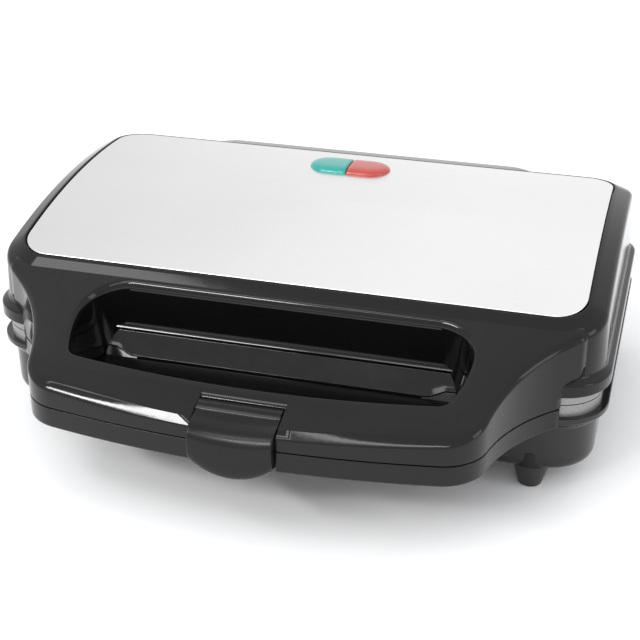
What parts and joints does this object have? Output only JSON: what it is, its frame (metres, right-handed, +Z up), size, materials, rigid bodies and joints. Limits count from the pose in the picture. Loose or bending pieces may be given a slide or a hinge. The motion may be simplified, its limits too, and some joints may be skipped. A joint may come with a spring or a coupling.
{
  "type": "sandwich toaster",
  "caption": "Closed clamshell sandwich toaster with a steel panel in its hinged lid, a front handle with a grip opening, a latch, pocketed cooking plates and tapered feet.",
  "frame": {"origin": "centre of the bounding box in X and Y, on the plane of the feet", "axes": "+X to the right along the hinge axis, +Y from the handle to the hinge, +Z up"},
  "size_m": [0.2756, 0.2376, 0.0963],
  "materials": {
    "housing": "glossy moulded black plastic",
    "panel_steel": "fine brushed stainless steel",
    "green_lens": "translucent green plastic",
    "red_lens": "translucent red plastic",
    "lamp_plastic": "plain heat-resistant plastic",
    "lamp_glass": "clear glass",
    "plate_coating": "cast, with a dark non-stick coat",
    "heater_steel": "dull drawn tube",
    "reflector_sheet": "bright sheet",
    "screw_steel": "zinc plated",
    "latch_plastic": "satin moulded black plastic",
    "pin_steel": "plain ground steel",
    "thermostat_ceramic": "ceramic",
    "fuse_brass": "plain",
    "terminal_plastic": "plain",
    "lead_sleeve": "silicone sleeve",
    "foot_plastic": "satin moulded plastic",
    "grommet_rubber": "moulded rubber"
  },
  "bodies": {
    "base": {"lower_shell": "housing", "lower_plate": "plate_coating", "lower_heater": "heater_steel", "lower_reflector": "reflector_sheet", "base_screws": "screw_steel", "thermostat": "thermostat_ceramic", "thermal_fuse": "fuse_brass", "terminal_block": "terminal_plastic", "internal_leads": "lead_sleeve", "hinge_pins": "pin_steel", "feet": "foot_plastic", "cord_grommet": "grommet_rubber"},
    "lid": {"upper_shell": "housing", "steel_panel": "panel_steel", "green_lens": "green_lens", "red_lens": "red_lens", "lamp_housing": "lamp_plastic", "neon_lamps": "lamp_glass", "upper_plate": "plate_coating", "upper_heater": "heater_steel", "upper_reflector": "reflector_sheet", "lid_screws": "screw_steel", "latch_pin": "pin_steel"},
    "latch": {"latch": "latch_plastic"}
  },
  "joints": [
    {"name": "lid_hinge", "type": "hinge", "parent": "base", "child": "lid", "pos_m": [0, 0.1128, 0.044], "axis": [-1, 0, 0], "range_deg": [0, 105]},
    {"name": "latch_pivot", "type": "hinge", "parent": "lid", "child": "latch", "pos_m": [0, -0.1032, 0.05198], "axis": [-1, 0, 0], "range_deg": [0, 60]}
  ]
}
